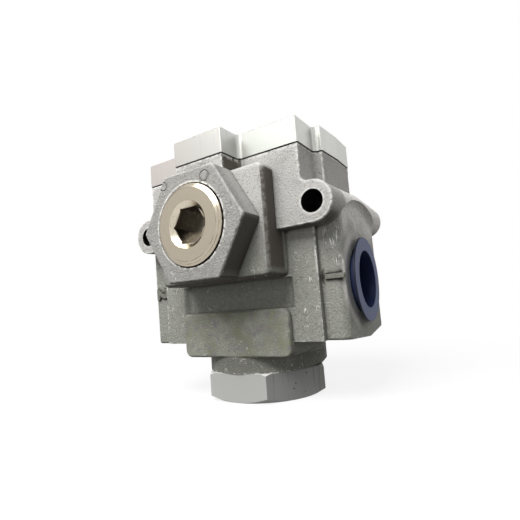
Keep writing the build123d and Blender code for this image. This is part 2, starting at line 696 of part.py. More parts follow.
# Inlet poppet: a cup that holds its seal face up, and centres the spring below
cup_r = POPPET_R - POPPET_RIM
spring_out = SPRING_R + SPRING_WIRE_R + 0.4
with BuildPart() as inlet_poppet:
    with BuildSketch(Plane.XZ):
        with BuildLine():
            Polyline(
                (STEM_THREAD_R + SCREW_FIT, inlet_disc_bottom),
                (spring_out, inlet_disc_bottom),
                (spring_out, inlet_disc_bottom - SPRING_COLLAR),
                (spring_out + 1.6, inlet_disc_bottom - SPRING_COLLAR),
                (spring_out + 1.6, inlet_disc_bottom),
                (POPPET_R, inlet_disc_bottom + 1.4),
                (POPPET_R, inlet_disc_top + POPPET_RIM_HEIGHT),
                (cup_r, inlet_disc_top + POPPET_RIM_HEIGHT),
                (cup_r, inlet_disc_top),
                (STEM_THREAD_R + SCREW_FIT, inlet_disc_top),
                close=True,
            )
        make_face()
    revolve(axis=Axis.Z)

# Inlet poppet seal
with BuildPart() as inlet_poppet_seal:
    with BuildSketch(Plane.XY.offset(inlet_disc_top)):
        Circle(cup_r - 0.1)
        Circle(STEM_THREAD_R + SCREW_FIT, mode=Mode.SUBTRACT)
    extrude(amount=POPPET_SEAL_HEIGHT)

# Exhaust poppet: the same cup turned over
with BuildPart() as exhaust_poppet:
    with BuildSketch(Plane.XZ):
        with BuildLine():
            Polyline(
                (STEM_GUIDE_R + SCREW_FIT, exhaust_disc_bottom),
                (cup_r, exhaust_disc_bottom),
                (cup_r, exhaust_disc_bottom - POPPET_RIM_HEIGHT),
                (POPPET_R, exhaust_disc_bottom - POPPET_RIM_HEIGHT),
                (POPPET_R, exhaust_disc_top - 1.4),
                (POPPET_R - 1.4, exhaust_disc_top),
                (STEM_GUIDE_R + SCREW_FIT, exhaust_disc_top),
                close=True,
            )
        make_face()
    revolve(axis=Axis.Z)

# Exhaust poppet seal
with BuildPart() as exhaust_poppet_seal:
    with BuildSketch(Plane.XY.offset(exhaust_seal_bottom)):
        Circle(cup_r - 0.1)
        Circle(STEM_GUIDE_R + SCREW_FIT, mode=Mode.SUBTRACT)
    extrude(amount=POPPET_SEAL_HEIGHT)

# Guide plate that closes the exhaust chamber below the piston
plate_r = PISTON_BORE_R - GUIDE_PLATE_FIT
bush_hole_r = bush_r + GUIDE_PLATE_FIT
plate_groove = 2 * STEM_SEAL_SECTION_R + 0.2
plate_mid = guide_shoulder_z + GUIDE_PLATE_HEIGHT / 2
with BuildPart() as guide_plate:
    with BuildSketch(Plane.XZ):
        with BuildLine():
            Polyline(
                (bush_hole_r, guide_shoulder_z),
                (plate_r, guide_shoulder_z),
                (plate_r, plate_mid - plate_groove / 2),
                (plate_r - plate_groove, plate_mid - plate_groove / 2),
                (plate_r - plate_groove, plate_mid + plate_groove / 2),
                (plate_r, plate_mid + plate_groove / 2),
                (plate_r, guide_plate_top),
                (bush_hole_r, guide_plate_top),
                close=True,
            )
        make_face()
    revolve(axis=Axis.Z)

# O-ring around the guide plate
with BuildPart() as guide_plate_seal:
    with BuildSketch(Plane.XZ):
        with Locations((plate_r - STEM_SEAL_SECTION_R, plate_mid)):
            Circle(STEM_SEAL_SECTION_R)
    revolve(axis=Axis.Z)

# Retaining ring, open at the rear, sprung into its groove above the guide plate
ring_r = PISTON_BORE_R + RETAINING_RING_BITE - 0.1
with BuildPart() as retaining_ring:
    with BuildSketch(Plane.XY.offset(guide_plate_top)):
        Circle(ring_r)
        Circle(ring_r - RETAINING_RING_WIDTH, mode=Mode.SUBTRACT)
        with Locations((0, ring_r)):
            Rectangle(RETAINING_RING_GAP, 4 * RETAINING_RING_WIDTH, mode=Mode.SUBTRACT)
    extrude(amount=RETAINING_RING_HEIGHT)

# Bronze guide bush pressed into the guide plate, with a groove for the stem seal
bush_bore = STEM_GUIDE_R + STEM_FIT
stem_seal_outer = bush_bore + 2 * STEM_SEAL_SECTION_R
with BuildPart() as stem_guide_bush:
    with BuildSketch(Plane.XZ):
        with BuildLine():
            Polyline(
                (bush_bore, guide_shoulder_z),
                (bush_r, guide_shoulder_z),
                (bush_r, guide_plate_top),
                (BUSH_COLLAR_R, guide_plate_top),
                (BUSH_COLLAR_R, guide_plate_top + BUSH_COLLAR_HEIGHT),
                (bush_bore, guide_plate_top + BUSH_COLLAR_HEIGHT),
                (bush_bore, plate_mid + plate_groove / 2),
                (stem_seal_outer + 0.1, plate_mid + plate_groove / 2),
                (stem_seal_outer + 0.1, plate_mid - plate_groove / 2),
                (bush_bore, plate_mid - plate_groove / 2),
                close=True,
            )
        make_face()
    revolve(axis=Axis.Z)

# Stem seal inside the bush
with BuildPart() as stem_seal:
    with BuildSketch(Plane.XZ):
        with Locations((stem_seal_outer - STEM_SEAL_SECTION_R, plate_mid)):
            Circle(STEM_SEAL_SECTION_R)
    revolve(axis=Axis.Z)

# Return spring with both ends ground flat
with BuildPart() as return_spring:
    with BuildLine() as coil:
        Helix(SPRING_PITCH, spring_length, SPRING_R, center=(0, 0, spring_bottom))
    with BuildSketch(Plane(origin=coil.line @ 0, z_dir=coil.line % 0)):
        Circle(SPRING_WIRE_R)
    sweep()
    with BuildSketch(Plane.XY.offset(spring_bottom)):
        Circle(2 * SPRING_R)
    extrude(amount=-2 * SPRING_WIRE_R, mode=Mode.SUBTRACT)
    with BuildSketch(Plane.XY.offset(spring_bottom + spring_length)):
        Circle(2 * SPRING_R)
    extrude(amount=2 * SPRING_WIRE_R, mode=Mode.SUBTRACT)

# Washer the spring stands on
with BuildPart() as spring_seat:
    with BuildSketch(Plane.XY.offset(CAP_FLOOR)):
        Circle(SPRING_SEAT_R)
        Circle(SPRING_R - SPRING_WIRE_R - 2, mode=Mode.SUBTRACT)
    extrude(amount=SPRING_SEAT_HEIGHT)

# Bottom cap: hexagon with turned corners, threaded spigot and spring pocket
cap_corner = CAP_AF / 2 / cos(radians(30))
cap_seal_floor = CAP_BORE_R - 2 * CAP_SEAL_SECTION_R - 0.1
spigot_r = CAP_BORE_R - SCREW_FIT
groove_half = CAP_SEAL_SECTION_R + 0.2
bottom_rise = (cap_corner - CAP_AF / 2) * tan(radians(CAP_CHAMFER_DEG))
top_drop = CAP_TOP_BEVEL * tan(radians(CAP_CHAMFER_DEG))
cap_top_r = cap_corner - CAP_TOP_BEVEL
with BuildPart() as bottom_cap:
    with BuildSketch(Plane.XZ):
        with BuildLine():
            Polyline(
                (0, 0),
                (CAP_AF / 2 - 0.3, 0),
                (cap_corner + 0.1, bottom_rise + 0.2),
                (cap_corner + 0.1, CAP_HEIGHT - top_drop),
                (cap_top_r, CAP_HEIGHT),
                (0, CAP_HEIGHT),
                close=True,
            )
        make_face()
    revolve(axis=Axis.Z)
    with BuildSketch():
        RegularPolygon(CAP_AF / 2, 6, major_radius=False)
    extrude(amount=CAP_HEIGHT, mode=Mode.INTERSECT)
    with BuildSketch(Plane.XZ):
        with BuildLine():
            Polyline(
                (0, CAP_HEIGHT - 1),
                (spigot_r, CAP_HEIGHT - 1),
                (spigot_r, cap_seal_z - groove_half),
                (cap_seal_floor, cap_seal_z - groove_half),
                (cap_seal_floor, cap_seal_z + groove_half),
                (spigot_r, cap_seal_z + groove_half),
                (spigot_r, cap_spigot_top - 1),
                (spigot_r - 1, cap_spigot_top),
                (0, cap_spigot_top),
                close=True,
            )
        make_face()
    revolve(axis=Axis.Z)
    with BuildSketch(Plane.XY.offset(CAP_FLOOR)):
        Circle(CAP_POCKET_R)
    extrude(amount=cap_spigot_top - CAP_FLOOR, mode=Mode.SUBTRACT)

# O-ring in the cap's groove
with BuildPart() as bottom_cap_seal:
    with BuildSketch(Plane.XZ):
        with Locations((CAP_BORE_R - CAP_SEAL_SECTION_R - 0.05, cap_seal_z)):
            Circle(CAP_SEAL_SECTION_R)
    revolve(axis=Axis.Z)

# Exhaust port plug: collar, threaded shank and hexagon socket
plug_thread_r = PORT_R - SCREW_FIT
socket_corner = PLUG_SOCKET_AF / 2 / cos(radians(30))
sink_depth = PLUG_COUNTERSINK_R - socket_corner + 0.8
plug_axis = Plane.XZ.offset(collar_back_y) * Location((0, HEX_BOSS_Z, 0))
with BuildPart() as exhaust_port_plug:
    with BuildSketch(plug_axis):
        Circle(PLUG_COLLAR_R)
    extrude(amount=plug_face_y - collar_back_y)
    chamfer(
        exhaust_port_plug.faces().sort_by(Axis.Y)[0].edges(),
        PLUG_BEVEL,
        PLUG_BEVEL_WIDTH,
    )
    with BuildSketch(plug_axis):
        Circle(plug_thread_r)
    extrude(amount=-PLUG_LENGTH)
    chamfer(exhaust_port_plug.faces().sort_by(Axis.Y)[-1].edges(), 1.2)
    with Locations(Plane.XZ.offset(plug_face_y) * Location((0, HEX_BOSS_Z, -sink_depth / 2))):
        Cone(
            PLUG_COUNTERSINK_R - sink_depth,
            PLUG_COUNTERSINK_R,
            sink_depth,
            mode=Mode.SUBTRACT,
        )
    with BuildSketch(Plane.XZ.offset(plug_face_y)):
        with Locations((0, HEX_BOSS_Z)):
            RegularPolygon(PLUG_SOCKET_AF / 2, 6, major_radius=False)
    extrude(amount=-PLUG_SOCKET_DEPTH, mode=Mode.SUBTRACT)

# Flat washer under the plug's collar
with BuildPart() as exhaust_plug_seal:
    with BuildSketch(Plane.XZ.offset(spot_face_y)):
        with Locations((0, HEX_BOSS_Z)):
            Circle(PLUG_COLLAR_R)
            Circle(PLUG_WASHER_BORE, mode=Mode.SUBTRACT)
    extrude(amount=PLUG_WASHER)


# Thread protectors: flanged cups pushed a little askew into the two side ports
tilt = radians(PROTECTOR_TILT_DEG)
seat_at = (PORT_FACE_X + PROTECTOR_STAND_OFF, 0, PORT_Z)
cup_mouth = PORT_R - PROTECTOR_FIT
cup_foot = cup_mouth - PROTECTOR_DRAFT
with BuildPart() as inlet_port_protector:
    with BuildSketch(Plane(seat_at, (0, 0, 1), (-sin(tilt), cos(tilt), 0))) as protector:
        with BuildLine():
            Polyline(
                (0, -PROTECTOR_DEPTH),
                (cup_foot, -PROTECTOR_DEPTH),
                (cup_mouth, 0),
                (PROTECTOR_FLANGE_R, 0),
                (PROTECTOR_FLANGE_R, PROTECTOR_FLANGE),
                (cup_mouth - PROTECTOR_WALL, PROTECTOR_FLANGE),
                (cup_mouth - PROTECTOR_WALL, 0),
                (cup_foot - PROTECTOR_WALL, PROTECTOR_FLOOR - PROTECTOR_DEPTH),
                (0, PROTECTOR_FLOOR - PROTECTOR_DEPTH),
                close=True,
            )
        make_face()
        fillet(protector.vertices().group_by(Axis.Y)[-1], PROTECTOR_ROUND)
    revolve(axis=Axis(seat_at, (cos(tilt), sin(tilt), 0)))

with BuildPart() as cylinder_port_protector:
    mirror(inlet_port_protector.part, about=Plane.YZ)

body.part.label = "body"
export_step(body.part, "parts/body.step")
pilot_cover.part.label = "pilot_cover"
export_step(pilot_cover.part, "parts/pilot_cover.step")
cover_gasket.part.label = "cover_gasket"
export_step(cover_gasket.part, "parts/cover_gasket.step")
cover_screws.part.label = "cover_screws"
export_step(cover_screws.part, "parts/cover_screws.step")
piston.part.label = "piston"
export_step(piston.part, "parts/piston.step")
piston_seal.part.label = "piston_seal"
export_step(piston_seal.part, "parts/piston_seal.step")
piston_guide_ring.part.label = "piston_guide_ring"
export_step(piston_guide_ring.part, "parts/piston_guide_ring.step")
stem.part.label = "stem"
export_step(stem.part, "parts/stem.step")
stem_nuts.part.label = "stem_nuts"
export_step(stem_nuts.part, "parts/stem_nuts.step")
exhaust_poppet_nut.part.label = "exhaust_poppet_nut"
export_step(exhaust_poppet_nut.part, "parts/exhaust_poppet_nut.step")
seal_retainers.part.label = "seal_retainers"
export_step(seal_retainers.part, "parts/seal_retainers.step")
inlet_poppet.part.label = "inlet_poppet"
export_step(inlet_poppet.part, "parts/inlet_poppet.step")
inlet_poppet_seal.part.label = "inlet_poppet_seal"
export_step(inlet_poppet_seal.part, "parts/inlet_poppet_seal.step")
exhaust_poppet.part.label = "exhaust_poppet"
export_step(exhaust_poppet.part, "parts/exhaust_poppet.step")
exhaust_poppet_seal.part.label = "exhaust_poppet_seal"
export_step(exhaust_poppet_seal.part, "parts/exhaust_poppet_seal.step")
guide_plate.part.label = "guide_plate"
export_step(guide_plate.part, "parts/guide_plate.step")
guide_plate_seal.part.label = "guide_plate_seal"
export_step(guide_plate_seal.part, "parts/guide_plate_seal.step")
retaining_ring.part.label = "retaining_ring"
export_step(retaining_ring.part, "parts/retaining_ring.step")
stem_guide_bush.part.label = "stem_guide_bush"
export_step(stem_guide_bush.part, "parts/stem_guide_bush.step")
stem_seal.part.label = "stem_seal"
export_step(stem_seal.part, "parts/stem_seal.step")
return_spring.part.label = "return_spring"
export_step(return_spring.part, "parts/return_spring.step")
spring_seat.part.label = "spring_seat"
export_step(spring_seat.part, "parts/spring_seat.step")
bottom_cap.part.label = "bottom_cap"
export_step(bottom_cap.part, "parts/bottom_cap.step")
bottom_cap_seal.part.label = "bottom_cap_seal"
export_step(bottom_cap_seal.part, "parts/bottom_cap_seal.step")
exhaust_port_plug.part.label = "exhaust_port_plug"
export_step(exhaust_port_plug.part, "parts/exhaust_port_plug.step")
exhaust_plug_seal.part.label = "exhaust_plug_seal"
export_step(exhaust_plug_seal.part, "parts/exhaust_plug_seal.step")
inlet_port_protector.part.label = "inlet_port_protector"
export_step(inlet_port_protector.part, "parts/inlet_port_protector.step")
cylinder_port_protector.part.label = "cylinder_port_protector"
export_step(cylinder_port_protector.part, "parts/cylinder_port_protector.step")
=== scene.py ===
# %% [markdown]
# # A blowdown valve in its working finishes
# The valve is a blasted aluminium casting that carries a milled cover, a cap cut
# from hexagon bar, a nickel-plated plug and two blue plastic port protectors. The
# imported CAD model already holds every shape in its place, so most of this lesson
# is about surfaces: what each piece is made of, and what its maker's tools left
# on it. One could model the pieces again here, but the CAD mesh is exact, so the
# lesson dresses it. It adds only two things: the small raised figures beside the
# ports, which a drawing office leaves to the die cutter, and a copy of the return
# spring.

# %% Load the imported model
from math import cos, pi, radians, sin

import bpy
from mathutils import Matrix, Vector


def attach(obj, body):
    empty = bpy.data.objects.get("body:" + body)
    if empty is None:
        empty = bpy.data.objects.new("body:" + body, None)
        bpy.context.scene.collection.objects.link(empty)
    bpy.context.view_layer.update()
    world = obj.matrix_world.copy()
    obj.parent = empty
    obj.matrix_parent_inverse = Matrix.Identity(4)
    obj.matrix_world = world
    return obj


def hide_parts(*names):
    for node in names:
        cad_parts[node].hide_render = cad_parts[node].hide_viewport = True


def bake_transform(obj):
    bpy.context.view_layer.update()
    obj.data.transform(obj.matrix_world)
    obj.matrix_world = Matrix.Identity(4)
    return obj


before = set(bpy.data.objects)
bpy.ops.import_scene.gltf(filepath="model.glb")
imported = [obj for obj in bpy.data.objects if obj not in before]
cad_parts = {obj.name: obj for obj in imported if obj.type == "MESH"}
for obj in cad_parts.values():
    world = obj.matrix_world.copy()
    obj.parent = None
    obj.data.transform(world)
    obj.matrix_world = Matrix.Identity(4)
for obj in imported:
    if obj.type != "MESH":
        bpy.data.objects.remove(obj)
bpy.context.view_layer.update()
MM = 0.001

# %% [markdown]
# ## Colours and nodes
# A colour picker shows sRGB values, which are bent to suit a screen. Blender's
# sockets want linear light, so one function turns the first into the second and
# every colour below goes through it. A second function adds a shader node with
# its settings and its links in one line, which keeps each finish short enough to
# read as a list of what lies on the metal.

# %% Two small tools
def linear(code):
    """The linear colour of an sRGB hex code such as #c0bdb6."""
    parts = [int(code[i : i + 2], 16) / 255 for i in (1, 3, 5)]
    curve = [p / 12.92 if p <= 0.04045 else ((p + 0.055) / 1.055) ** 2.4 for p in parts]
    return (*curve, 1.0)


def add_node(tree, kind, inputs=None, **settings):
    """A shader node. Inputs are values, or the output sockets that feed them."""
    node = tree.nodes.new(kind)
    for name, value in settings.items():
        setattr(node, name, value)
    for name, value in (inputs or {}).items():
        if isinstance(value, bpy.types.NodeSocket):
            tree.links.new(value, node.inputs[name])
        else:
            node.inputs[name].default_value = value
    return node


print("mid grey is", round(linear("#808080")[0], 3), "in linear light")

# %% [markdown]
# ## Camera
# The valve was photographed from its front right corner, with the lens a little
# under mid height and looking slightly up, close enough for the near corner to
# swell. The place and the direction were worked out from straight edges of the
# casting whose sizes are known. A camera is aimed here with its own three axes
# and not with a tracking constraint, because the picture also leans a few degrees.

# %% Set up the camera
LENS_AT = Vector((123.1, -195.0, 48.1)) * MM
LOOKS_ALONG = Vector((-0.5295, 0.8407, 0.1132)).normalized()
PICTURE_UP = Vector((0.1243, -0.0551, 0.9907))
to_right = LOOKS_ALONG.cross(PICTURE_UP).normalized()
upward = to_right.cross(LOOKS_ALONG)

camera_data = bpy.data.cameras.new("camera")
camera_data.sensor_width = 36.0
camera_data.lens = 27.33
camera_data.clip_start = 0.01
camera = bpy.data.objects.new("camera", camera_data)
turn = Matrix((to_right, upward, -LOOKS_ALONG)).transposed().to_4x4()
camera.matrix_world = Matrix.Translation(LENS_AT) @ turn
bpy.context.scene.collection.objects.link(camera)
bpy.context.scene.camera = camera
print("camera is", round(LENS_AT.length / MM), "mm from the valve's foot")

# %% [markdown]
# ## Floor and background
# The photograph has a bare white ground. A white that comes from more light would
# also wash out the metal. So the floor and the world are white only to the eye
# and to mirrored or bent rays, and much quieter to the rays that carry soft light.

# %% Which rays see plain white
scene = bpy.context.scene
scene.view_settings.view_transform = "Standard"


def sees_white(tree):
    """1 for rays from the eye and for mirrored or bent ones, 0 for soft light."""
    rays = add_node(tree, "ShaderNodeLightPath").outputs
    sharp = {0: rays["Is Camera Ray"], 1: rays["Is Glossy Ray"]}
    sharp = add_node(tree, "ShaderNodeMath", sharp, operation="MAXIMUM")
    bent = {0: sharp.outputs[0], 1: rays["Is Transmission Ray"]}
    return add_node(tree, "ShaderNodeMath", bent, operation="MAXIMUM").outputs[0]


print("colours are shown with the", scene.view_settings.view_transform, "view")

# %% [markdown]
# The floor is one flat square. Close to the valve it is grey matt paper with a
# glow of its own, so it is nearly white and still grows darker where the valve
# shades it. Further out it fades to plain white, and no horizon shows. A curved
# backdrop would need a much brighter lamp to come out as white.

# %% Lay the floor
FLOOR_HALF = 1.5
SHADOW_ENDS = (0.08, 0.30)
PAPER_GLOW = 0.84
floor_mesh = bpy.data.meshes.new("floor")
outline = [(x * FLOOR_HALF, y * FLOOR_HALF, 0) for x, y in ((-1, -1), (1, -1), (1, 1), (-1, 1))]
floor_mesh.from_pydata(outline, [], [(0, 1, 2, 3)])
floor = bpy.data.objects.new("floor", floor_mesh)
scene.collection.objects.link(floor)

paper = bpy.data.materials.new("matt_white_paper")
paper.use_nodes = True
tree = paper.node_tree
tree.nodes.clear()
spot = add_node(tree, "ShaderNodeTexCoord").outputs["Object"]
reach = add_node(tree, "ShaderNodeVectorMath", {0: spot}, operation="LENGTH")
fade = add_node(
    tree,
    "ShaderNodeMapRange",
    {"Value": reach.outputs["Value"], "From Min": SHADOW_ENDS[0], "From Max": SHADOW_ENDS[1]},
    interpolation_type="SMOOTHSTEP",
)
shaded = add_node(tree, "ShaderNodeBsdfDiffuse", {"Color": linear("#7c7c7c")})
white = linear("#ffffff")
glow = add_node(tree, "ShaderNodeEmission", {"Color": white, "Strength": PAPER_GLOW})
near_foot = add_node(tree, "ShaderNodeAddShader", {0: shaded.outputs[0], 1: glow.outputs[0]})
plain = add_node(tree, "ShaderNodeEmission", {"Color": white, "Strength": 1.0})
seen = {"Fac": fade.outputs[0], 1: near_foot.outputs[0], 2: plain.outputs[0]}
seen = add_node(tree, "ShaderNodeMixShader", seen)
quiet = add_node(tree, "ShaderNodeBsdfDiffuse", {"Color": linear("#595959")})
both = {"Fac": sees_white(tree), 1: quiet.outputs[0], 2: seen.outputs[0]}
both = add_node(tree, "ShaderNodeMixShader", both)
add_node(tree, "ShaderNodeOutputMaterial", {"Surface": both.outputs[0]})
floor_mesh.materials.append(paper)
print("floor is", 2 * FLOOR_HALF, "m across")

# %% [markdown]
# The world stands for the white room around the valve. Bright metal shows what it
# mirrors, so the nickel and the cover need that white to look like metal at all.
# As soft light the same room is weak, and only keeps the shaded sides readable.

# %% Light the world
SHADE_FILL = 0.14
world = bpy.data.worlds.new("white_studio")
scene.world = world
world.use_nodes = True
tree = world.node_tree
tree.nodes.clear()
fill = add_node(tree, "ShaderNodeBackground", {"Color": white, "Strength": SHADE_FILL})
room = add_node(tree, "ShaderNodeBackground", {"Color": white, "Strength": 1.0})
sky = {"Fac": sees_white(tree), 1: fill.outputs[0], 2: room.outputs[0]}
sky = add_node(tree, "ShaderNodeMixShader", sky)
add_node(tree, "ShaderNodeOutputWorld", {"Surface": sky.outputs[0]})
print("world fills shadows at", SHADE_FILL)

# %% [markdown]
# ## Lamps
# The faces that look forward are bright at the top and fade towards the foot,
# those that look right are less than half as bright, and what hangs under the
# boss is darkest. One soft box close above the front gives most of that. A weaker
# one from the right rear keeps the side faces readable, and leaves the nook beside
# the boss dark, because the ear plate stands in its way. A third, low in front,
# opens the pocket under the boss. Area lamps are used, because their size gives
# the shadows their soft edge, which point lamps can't do.

# %% Hang the lamps
AIM = Vector((0, 0, 80)) * MM


def soft_box(name, place, width, power):
    """A square area lamp at a place in millimetres, facing the valve."""
    data = bpy.data.lights.new(name, "AREA")
    data.size = width
    data.energy = power
    lamp = bpy.data.objects.new(name, data)
    lamp.location = Vector(place) * MM
    lamp.rotation_euler = (AIM - lamp.location).to_track_quat("-Z", "Y").to_euler()
    scene.collection.objects.link(lamp)
    print(name, "has", power, "W on", width, "m")


soft_box("key_box", (-20, -300, 410), 0.34, 2.95)
soft_box("side_box", (400, 200, 330), 0.60, 0.90)
soft_box("low_box", (40, -520, 60), 0.30, 0.48)

# %% [markdown]
# ## What every finish needs
# A finish is built up as the real surface was: a base, then layers that cover it
# where a mask says so, then relief. One helper starts a finish, one lays a colour
# over it, one adds relief, and one puts it on the CAD nodes. Group nodes could do
# the same, but the steps are easier to follow as a list.

# %% Start a finish and build it up
def new_finish(name, colour, metallic, roughness):
    """A material with a Principled shader, and coordinates in millimetres."""
    material = bpy.data.materials.new(name)
    material.use_nodes = True
    tree = material.node_tree
    tree.nodes.clear()
    base = {"Base Color": linear(colour), "Metallic": metallic, "Roughness": roughness}
    skin = add_node(tree, "ShaderNodeBsdfPrincipled", base)
    add_node(tree, "ShaderNodeOutputMaterial", {"Surface": skin.outputs[0]})
    place = add_node(tree, "ShaderNodeTexCoord")
    metres = {0: place.outputs["Object"], 1: (1 / MM, 1 / MM, 1 / MM)}
    mm = add_node(tree, "ShaderNodeVectorMath", metres, operation="MULTIPLY")
    material.diffuse_color = linear(colour)
    return material, tree, skin, mm.outputs[0]


def lay_over(tree, skin, mask, colour):
    """Covers what the skin shows so far with a colour, as far as the mask says."""
    # Inputs 6 and 7 of a Mix node are its two colours, and output 2 is the mixed one.
    shown = skin.inputs["Base Color"]
    mix = add_node(tree, "ShaderNodeMix", {"Factor": mask, 7: linear(colour)}, data_type="RGBA")
    if shown.is_linked:
        tree.links.new(shown.links[0].from_socket, mix.inputs[6])
    else:
        mix.inputs[6].default_value = shown.default_value
    tree.links.new(mix.outputs[2], shown)


def relief(tree, skin, height, depth):
    """Adds relief of a depth in millimetres to what the skin has so far."""
    normal = skin.inputs["Normal"]
    bump = add_node(tree, "ShaderNodeBump", {"Height": height, "Distance": depth * MM})
    if normal.is_linked:
        tree.links.new(normal.links[0].from_socket, bump.inputs["Normal"])
    tree.links.new(bump.outputs[0], normal)


def dress(material, *nodes):
    """Gives CAD nodes this finish in place of the plain packed one."""
    for name in nodes:
        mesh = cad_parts[name].data
        mesh.materials.clear()
        mesh.materials.append(material)
    print(material.name, "on", ", ".join(nodes))


print("finishes count in millimetres,", round(1 / MM), "to the metre")

# %% [markdown]
# ## Masks
# A mask says where a layer lies. It can go by place, by the way that the surface
# looks, or by a noise that stands for chance. All of them are laid out in
# millimetres of the part itself, so that a ruler can check their scale and they
# stay put when the stem moves. Painting on an unwrapped mesh would be lost each
# time that the CAD model is packed anew.

# %% Masks by place, by direction and by chance
def looking(tree):
    """How far the surface looks right, back and up, each from -1 to 1."""
    facing = add_node(tree, "ShaderNodeNewGeometry").outputs["Normal"]
    return add_node(tree, "ShaderNodeSeparateXYZ", {0: facing}).outputs


def from_line(tree, mm, along, point):
    """Distance in mm from a line that runs along X, Y or Z through a point."""
    keep = [0.0 if axis == along else 1.0 for axis in "XYZ"]
    off = add_node(tree, "ShaderNodeVectorMath", {0: mm, 1: point}, operation="SUBTRACT")
    flat = {0: off.outputs[0], 1: keep}
    flat = add_node(tree, "ShaderNodeVectorMath", flat, operation="MULTIPLY")
    length = add_node(tree, "ShaderNodeVectorMath", {0: flat.outputs[0]}, operation="LENGTH")
    return length.outputs["Value"]


def where(tree, *rules):
    """A mask that is 1 where each value has passed its last number, and 0 short
    of its first. A rule is (value, first, last), and the step between is soft."""
    mask = None
    for value, first, last in rules:
        grade = add_node(
            tree,
            "ShaderNodeMapRange",
            {"Value": value, "From Min": first, "From Max": last},
            interpolation_type="SMOOTHSTEP",
        ).outputs[0]
        if mask is None:
            mask = grade
        else:
            both = {0: mask, 1: grade}
            mask = add_node(tree, "ShaderNodeMath", both, operation="MULTIPLY").outputs[0]
    return mask


def streaks(tree, mm, size, turn=(0, 0, 0), detail=3.0):
    """Noise whose grains are a size in mm along each axis, after a turn in degrees."""
    laid = {
        "Vector": mm,
        "Rotation": [radians(a) for a in turn],
        "Scale": [1 / s for s in size],
    }
    laid = add_node(tree, "ShaderNodeMapping", laid)
    noise = {"Vector": laid.outputs[0], "Scale": 1.0, "Detail": detail}
    return add_node(tree, "ShaderNodeTexNoise", noise).outputs[0]


print("masks go by", ", ".join(mask.__name__ for mask in (looking, from_line, where, streaks)))

# %% [markdown]
# ## Blasted cast aluminium
# The body is poured into a steel die and then shot-blasted, which gives a dull,
# even grey with a fine pebbled grain. One could displace the mesh for the grain,
# but it is under a tenth of a millimetre deep, so a bump is enough. Bare metal
# would be fully metallic, with a roughness near 0.6. The blasted skin scatters
# far more light than it mirrors, so the roughness stays and the metallic share
# and the specular level are turned far down, which keeps the shaded sides dark.
# The lower half is olive and painted darker towards the foot, as painted shade
# where the light fades. The hexagon's face and the neck are painted darker, as
# painted shade, and the olive pad is painted lighter, as painted light. The outer
# side of the right ear tube is painted bright, as painted light.

# %% Cast aluminium, base tones and grain
# Shot leaves dimples of about 0.3 mm, too fine for the picture, so the grain here
# is 0.8 mm, and its relief is deepened with it.
GRAIN = 0.8
MOTTLE = 14.0
GRAIN_DEPTH = 0.5
OLIVE_SHADE_BELOW = (98, 62)
HEX_FRONT = (-50, -57)
PAD_FRONT = (-29, -30.5)
PAD_TOP = (47, 45)
NECK_TOP = (23, 22)
PAINTED_TUBE_ACROSS = (56, 60)
PAINTED_TUBE_HEIGHT = (74, 86)
PAINTED_TUBE_BACK = (-21, -19)


def cast_skin(name):
    """The casting's plain skin: tones with painted shade and light, clouds and pebbled grain."""
    material, tree, skin, mm = new_finish(name, "#b8b6b2", 0.04, 0.6)
    skin.inputs["Specular IOR Level"].default_value = 0.1
    across, back, height = add_node(tree, "ShaderNodeSeparateXYZ", {0: mm}).outputs
    # The lower half is olive and painted darker, as painted shade.
    lay_over(tree, skin, where(tree, (height, *OLIVE_SHADE_BELOW)), "#9b9c93")
    # The hexagon's face is painted darker, as painted shade.
    lay_over(tree, skin, where(tree, (back, *HEX_FRONT)), "#9e9c98")
    # The pad is olive and painted lighter, as painted light.
    lay_over(tree, skin, where(tree, (height, *PAD_TOP), (back, *PAD_FRONT)), "#a3a497")
    # The neck is painted darker, as painted shade.
    lay_over(tree, skin, where(tree, (height, *NECK_TOP)), "#7f8077")
    # The outer side of the right ear tube is painted bright, as painted light.
    painted_tube_light = where(tree, (across, *PAINTED_TUBE_ACROSS), (height, *PAINTED_TUBE_HEIGHT), (back, *PAINTED_TUBE_BACK))
    lay_over(tree, skin, painted_tube_light, "#efede8")
    cloud = streaks(tree, mm, (MOTTLE, MOTTLE, MOTTLE))
    lay_over(tree, skin, where(tree, (cloud, 0.50, 0.85)), "#959490")
    grain = streaks(tree, mm, (GRAIN, GRAIN, GRAIN))
    lay_over(tree, skin, where(tree, (grain, 0.48, 0.22)), "#797773")
    lay_over(tree, skin, where(tree, (grain, 0.55, 0.85)), "#c9c8c4")
    relief(tree, skin, grain, GRAIN_DEPTH)
    return material, tree, skin, mm


cast, tree, skin, mm = cast_skin("cast_aluminium_shot_blasted")
print("grain is", GRAIN, "mm, clouds are", MOTTLE, "mm")

# %% [markdown]
# ## Places that stay dark or bright
# On the real valve the nook to the right of the hexagon boss is much darker than
# the faces about it, and so is what looks down at the front, while a ring of the
# port face beside the blue flange is brighter. Hard lamps from one side could show
# that, but they would spoil every other view. So these places are painted under
# the soft light, chosen by where they are and which way they look, never by where
# the camera is. The price is that they keep their tones in any light.

# %% The nook and the undersides in painted shade, a ring in painted light
PORT_Z = 57
NOOK_ACROSS = (40, 37)
NOOK_BACK = (-30, -32)
NOOK_FRONT = (-57.8, -57)
NOOK_FOOT = (62, 66)
RING = (27, 22.5)
RING_FRONT = (-6, -14)
RING_OUT = (55, 58)
across, back, height = add_node(tree, "ShaderNodeSeparateXYZ", {0: mm}).outputs
looks_right, _, looks_up = looking(tree)
nook = where(
    tree,
    (looks_right, 0.3, 0.6),
    (looks_up, 0.35, 0.2),
    (back, *NOOK_BACK),
    (back, *NOOK_FRONT),
    (height, *NOOK_FOOT),
    (across, *NOOK_ACROSS),
)
# Painted shade in the nook beside the boss.
lay_over(tree, skin, nook, "#656059")
